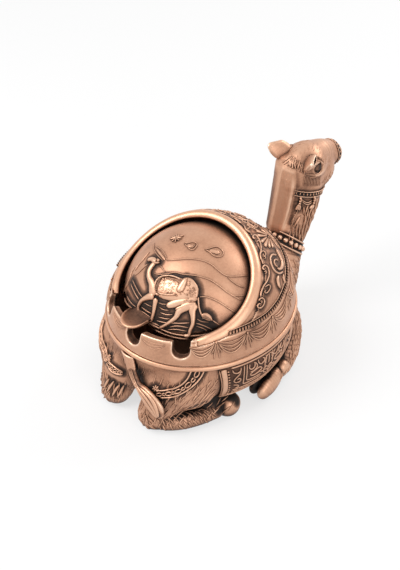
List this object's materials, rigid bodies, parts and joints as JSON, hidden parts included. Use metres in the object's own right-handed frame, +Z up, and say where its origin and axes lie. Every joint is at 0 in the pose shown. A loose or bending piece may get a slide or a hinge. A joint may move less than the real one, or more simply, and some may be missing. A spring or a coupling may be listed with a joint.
{
  "type": "incense burner",
  "caption": "Kneeling camel incense burner: a hollow bowl body under a lift-off dome cover with stick notches and a flip lid on a hinge line at the seam.",
  "frame": {"origin": "on the ground under the middle of the whole figure's box", "axes": "+X to the camel's right flank, +Y toward its head, +Z up; the opening with the lid faces -Y"},
  "size_m": [0.095, 0.172, 0.0995],
  "materials": {
    "copper": "antique copper plating, satin, dark in the recesses",
    "copper_pale": "copper plating worn bright on smooth edges",
    "copper_dark": "copper plating left dark between raised ornaments",
    "steel": "small machine screws and washers"
  },
  "bodies": {
    "base": {"bowl_body": "copper", "rim_ring": "copper_pale", "neck": "copper", "head": "copper", "necklace": "copper_dark", "halter_band": "copper", "nose_band": "copper", "tail": "copper", "neck_screw": "steel", "ear_left": "copper", "ear_right": "copper", "hind_leg_left": "copper", "hind_leg_right": "copper", "front_leg_left": "copper", "front_leg_right": "copper", "saddle_panel_left": "copper_dark", "saddle_panel_right": "copper_dark"},
    "cover": {"cover_shell": "copper", "drapery_band": "copper", "opening_bezel": "copper_pale", "rope_border": "copper_dark", "seat_lip": "copper", "pivot_boss_left": "copper", "pivot_boss_right": "copper", "pivot_screw_left": "steel", "pivot_screw_right": "steel", "pivot_washer_left": "steel", "pivot_washer_right": "steel"},
    "lid": {"lid_cap": "copper", "lid_tab": "copper_pale", "lid_relief": "copper_pale", "lid_arm_left": "copper", "lid_arm_right": "copper"}
  },
  "joints": [
    {"name": "cover_lift", "type": "slide", "parent": "base", "child": "cover", "axis": [0, 0, 1], "range_m": [0, 0.06]},
    {"name": "lid_hinge", "type": "hinge", "parent": "cover", "child": "lid", "pos_m": [0, -0.02707, 0.042], "axis": [-1, 0, 0], "range_deg": [0, 80]}
  ]
}
